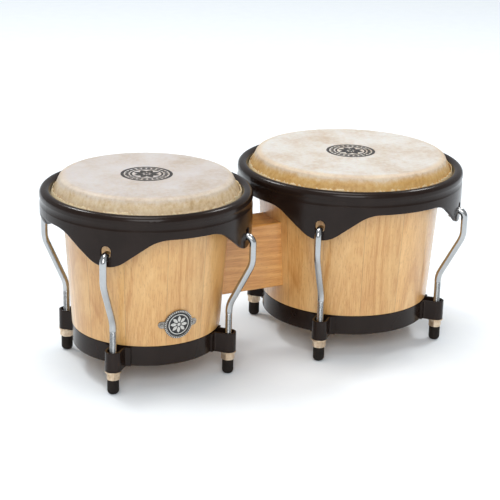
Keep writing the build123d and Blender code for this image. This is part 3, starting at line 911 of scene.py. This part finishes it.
def make_badge_face(metal, enamel):
    """Black enamel in the badge's field, a raised rosette on it, and beads in a dark rim groove."""
    lay_on_badge("badge_enamel", grid_disc(ENAMEL_RADIUS), ENAMEL_LIFT, ENAMEL_DROP, enamel)
    motif = [disc(0, 0, MOTIF_MIDDLE), flat_ring(*MOTIF_RING, segments=72)] + rosette(*MOTIF_PETAL)
    lay_on_badge("badge_motif", join_flat(motif), MOTIF_LIFT, 0.0, metal)
    lay_on_badge("badge_rim_groove", flat_ring(*GROOVE), GROOVE_LIFT, 0.0, enamel)
    beads = [disc(x, y, RIM_BEAD_RADIUS, segments=12) for x, y in circle(RIM_BEADS_AT, RIM_BEADS)]
    lay_on_badge("badge_beads", join_flat(beads), RIM_BEAD_LIFT, 0.0, metal)


# ---------------------------------------------------------------- the whole object

def paint(nodes, material):
    """Give CAD nodes a material in place of their plain ones."""
    for name in nodes:
        mesh = NODES[name].data
        mesh.materials.clear()
        mesh.materials.append(material)


def paint_frame():
    """Materials of the CAD nodes that stay."""
    coat, warm, grey = powder_coat(), warm_plate(), grey_plate()
    rubber, brass = black_rubber(), turned_brass()
    by_part = {
        "rim": coat,
        "bottom_band": coat,
        "receiver": coat,
        "rod_washers": warm,
        "tuning_nut": warm,
        "rubber_foot": rubber,
        "flesh_hoop": grey,
        "block_bolts": grey,
        "block_washers": grey,
        "threaded_inserts": brass,
    }
    for name in NODES:
        part = name.partition("_")[2]
        for start, material in by_part.items():
            if part.startswith(start):
                paint([name], material)
    for drum in DRUMS:
        paint([drum.name + "_shell"], stave_wood(drum))
    paint(["centre_block"], block_wood())
    paint(["badge", "badge_pins"], tarnished_metal())


def make_object_pieces():
    """Materials on the CAD nodes that stay, then the pieces that are made here."""
    plate, metal = bright_plate(), badge_metal()
    ink, enamel = printing_ink(), black_enamel()
    paint_frame()
    for drum in DRUMS:
        make_skin(drum)
        make_print(drum, ink)
        for lug, angle in LUGS.items():
            make_rod(drum, lug, angle, plate)
    make_badge_face(metal, enamel)


# ---------------------------------------------------------------- studio

CAMERA_AZIMUTH = radians(-28.06)
CAMERA_ELEVATION = radians(18.69)
CAMERA_ROLL = radians(1.55)
CAMERA_TARGET = Vector((-0.0061, 0.0, 0.0950))
CAMERA_DISTANCE = 1.4078
CAMERA_LENS = 106.31
FLOOR_HALF = 6.0
SURROUND_LIGHT = 0.46
SURROUND_SEEN = 1.0
LAMP_TARGET = Vector((0, 0, 0.1))
OVERHEAD_STRENGTH = 1.15
OVERHEAD_ANGLE = radians(30)
OVERHEAD_TILT = radians(-6)


def make_camera():
    """Camera at the viewing angle, slightly rolled."""
    a, e, r = CAMERA_AZIMUTH, CAMERA_ELEVATION, CAMERA_ROLL
    back = Vector((sin(a) * cos(e), -cos(a) * cos(e), sin(e)))
    level = Vector((cos(a), sin(a), 0))
    upright = back.cross(level)
    right = level * cos(r) + upright * sin(r)
    up = upright * cos(r) - level * sin(r)
    data = bpy.data.cameras.new("camera")
    data.lens = CAMERA_LENS
    data.sensor_width = 36.0
    data.clip_end = 50.0
    camera = bpy.data.objects.new("camera", data)
    turned = Matrix((right, up, back)).transposed().to_4x4()
    camera.matrix_world = Matrix.Translation(CAMERA_TARGET + back * CAMERA_DISTANCE) @ turned
    bpy.context.scene.collection.objects.link(camera)
    bpy.context.scene.camera = camera


def make_softbox(name, place, size, watts):
    """A square area lamp aimed at the object."""
    data = bpy.data.lights.new(name, "AREA")
    data.size = size
    data.energy = watts
    lamp = bpy.data.objects.new(name, data)
    lamp.location = place
    lamp.rotation_euler = (LAMP_TARGET - Vector(place)).to_track_quat("-Z", "Y").to_euler()
    bpy.context.scene.collection.objects.link(lamp)


def make_overhead():
    """A soft, slightly warm light from above."""
    data = bpy.data.lights.new("overhead", "SUN")
    data.energy = OVERHEAD_STRENGTH
    data.angle = OVERHEAD_ANGLE
    data.color = (1.0, 0.97, 0.94)
    lamp = bpy.data.objects.new("overhead", data)
    lamp.rotation_euler = (0, OVERHEAD_TILT, 0)
    bpy.context.scene.collection.objects.link(lamp)


def make_surroundings():
    """White surroundings that light the object less than they show, so that its own lamps shape it."""
    world = bpy.data.worlds.new("studio")
    world.use_nodes = True
    nodes, links = world.node_tree.nodes, world.node_tree.links
    seen = nodes.new("ShaderNodeLightPath").outputs["Is Camera Ray"]
    strength = nodes.new("ShaderNodeMath")
    strength.operation = "MULTIPLY_ADD"
    strength.inputs[1].default_value = SURROUND_SEEN - SURROUND_LIGHT
    strength.inputs[2].default_value = SURROUND_LIGHT
    links.new(seen, strength.inputs[0])
    background = nodes["Background"]
    background.inputs["Color"].default_value = (0.92, 0.96, 1.0, 1.0)
    links.new(strength.outputs[0], background.inputs["Strength"])
    bpy.context.scene.world = world


def make_floor():
    """Plain pale floor."""
    g = Graph("studio_floor")
    place = g.place()
    speck = g.noise(place, 40.0, detail=2.0)
    g.set("Base Color", g.ramp(speck, (0.3, (0.890, 0.940, 0.985)), (0.7, (0.910, 0.960, 0.995))))
    g.set("Roughness", 0.9)
    g.set("Specular IOR Level", 0.1)
    half = FLOOR_HALF
    corners = [(-half, -half, 0), (half, -half, 0), (half, half, 0), (-half, half, 0)]
    floor_plane = make_object("studio_floor", corners, [(0, 1, 2, 3)], g.material, smooth=False)


def make_studio():
    """Floor and surroundings, a broad key light, two small ones behind and a soft one overhead."""
    make_floor()
    make_surroundings()
    make_softbox("key", place=(-1.1, -2.2, 1.5), size=1.5, watts=33.0)
    make_softbox("back_left", place=(-0.55, 1.15, 1.64), size=0.35, watts=11.0)
    make_softbox("back_right", place=(1.26, 0.19, 1.64), size=0.35, watts=10.0)
    make_overhead()


make_object_pieces()
make_studio()
make_camera()
bpy.context.scene.view_settings.view_transform = "Standard"
